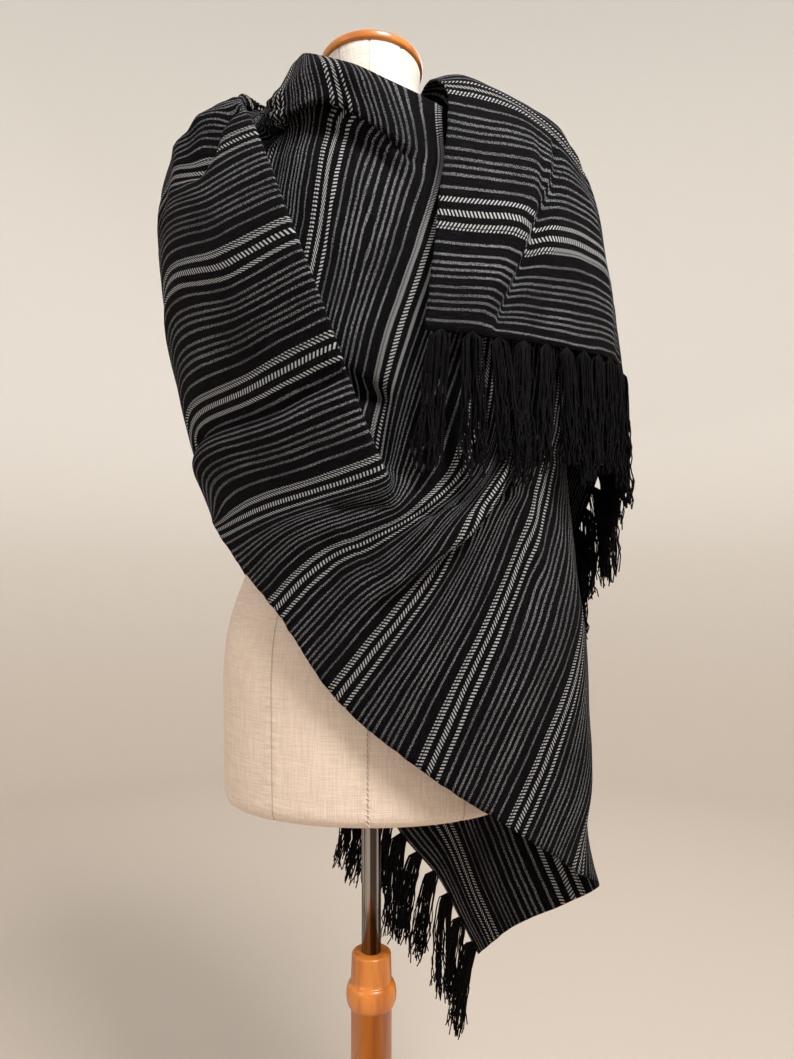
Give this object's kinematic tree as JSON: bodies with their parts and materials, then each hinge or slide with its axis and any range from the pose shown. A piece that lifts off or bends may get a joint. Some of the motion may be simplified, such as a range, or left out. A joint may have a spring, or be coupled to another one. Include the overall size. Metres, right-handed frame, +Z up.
{
  "type": "scarf on dress form",
  "caption": "Long striped handwoven shawl with knotted fringes, wrapped round a limbless dress form on a pole stand; the cloth covers the shoulders, chest and back.",
  "frame": {"origin": "centre of the underside of the stand's round base, on the floor", "axes": "+Z up, -Y out of the dress form's chest, +X toward the viewer's right when looking at the chest"},
  "size_m": [0.5473, 0.3666, 1.5003],
  "materials": {
    "canvas": "plain-weave linen canvas, matte",
    "wood": "varnished, satin",
    "steel": "dark polished tube",
    "striped_cloth": "black handwoven cotton with white and grey warp stripes",
    "fringe_yarn": "loose black cotton yarn"
  },
  "bodies": {
    "root": {"base": "wood", "post": "wood", "pole": "steel", "torso": "canvas", "neck_cap": "wood", "scarf_back_end": "striped_cloth", "scarf_front": "striped_cloth", "scarf_cowl": "striped_cloth", "scarf_back": "striped_cloth", "scarf_front_end": "striped_cloth", "fringe_back_end": "fringe_yarn", "fringe_front_end": "fringe_yarn"}
  },
  "joints": []
}
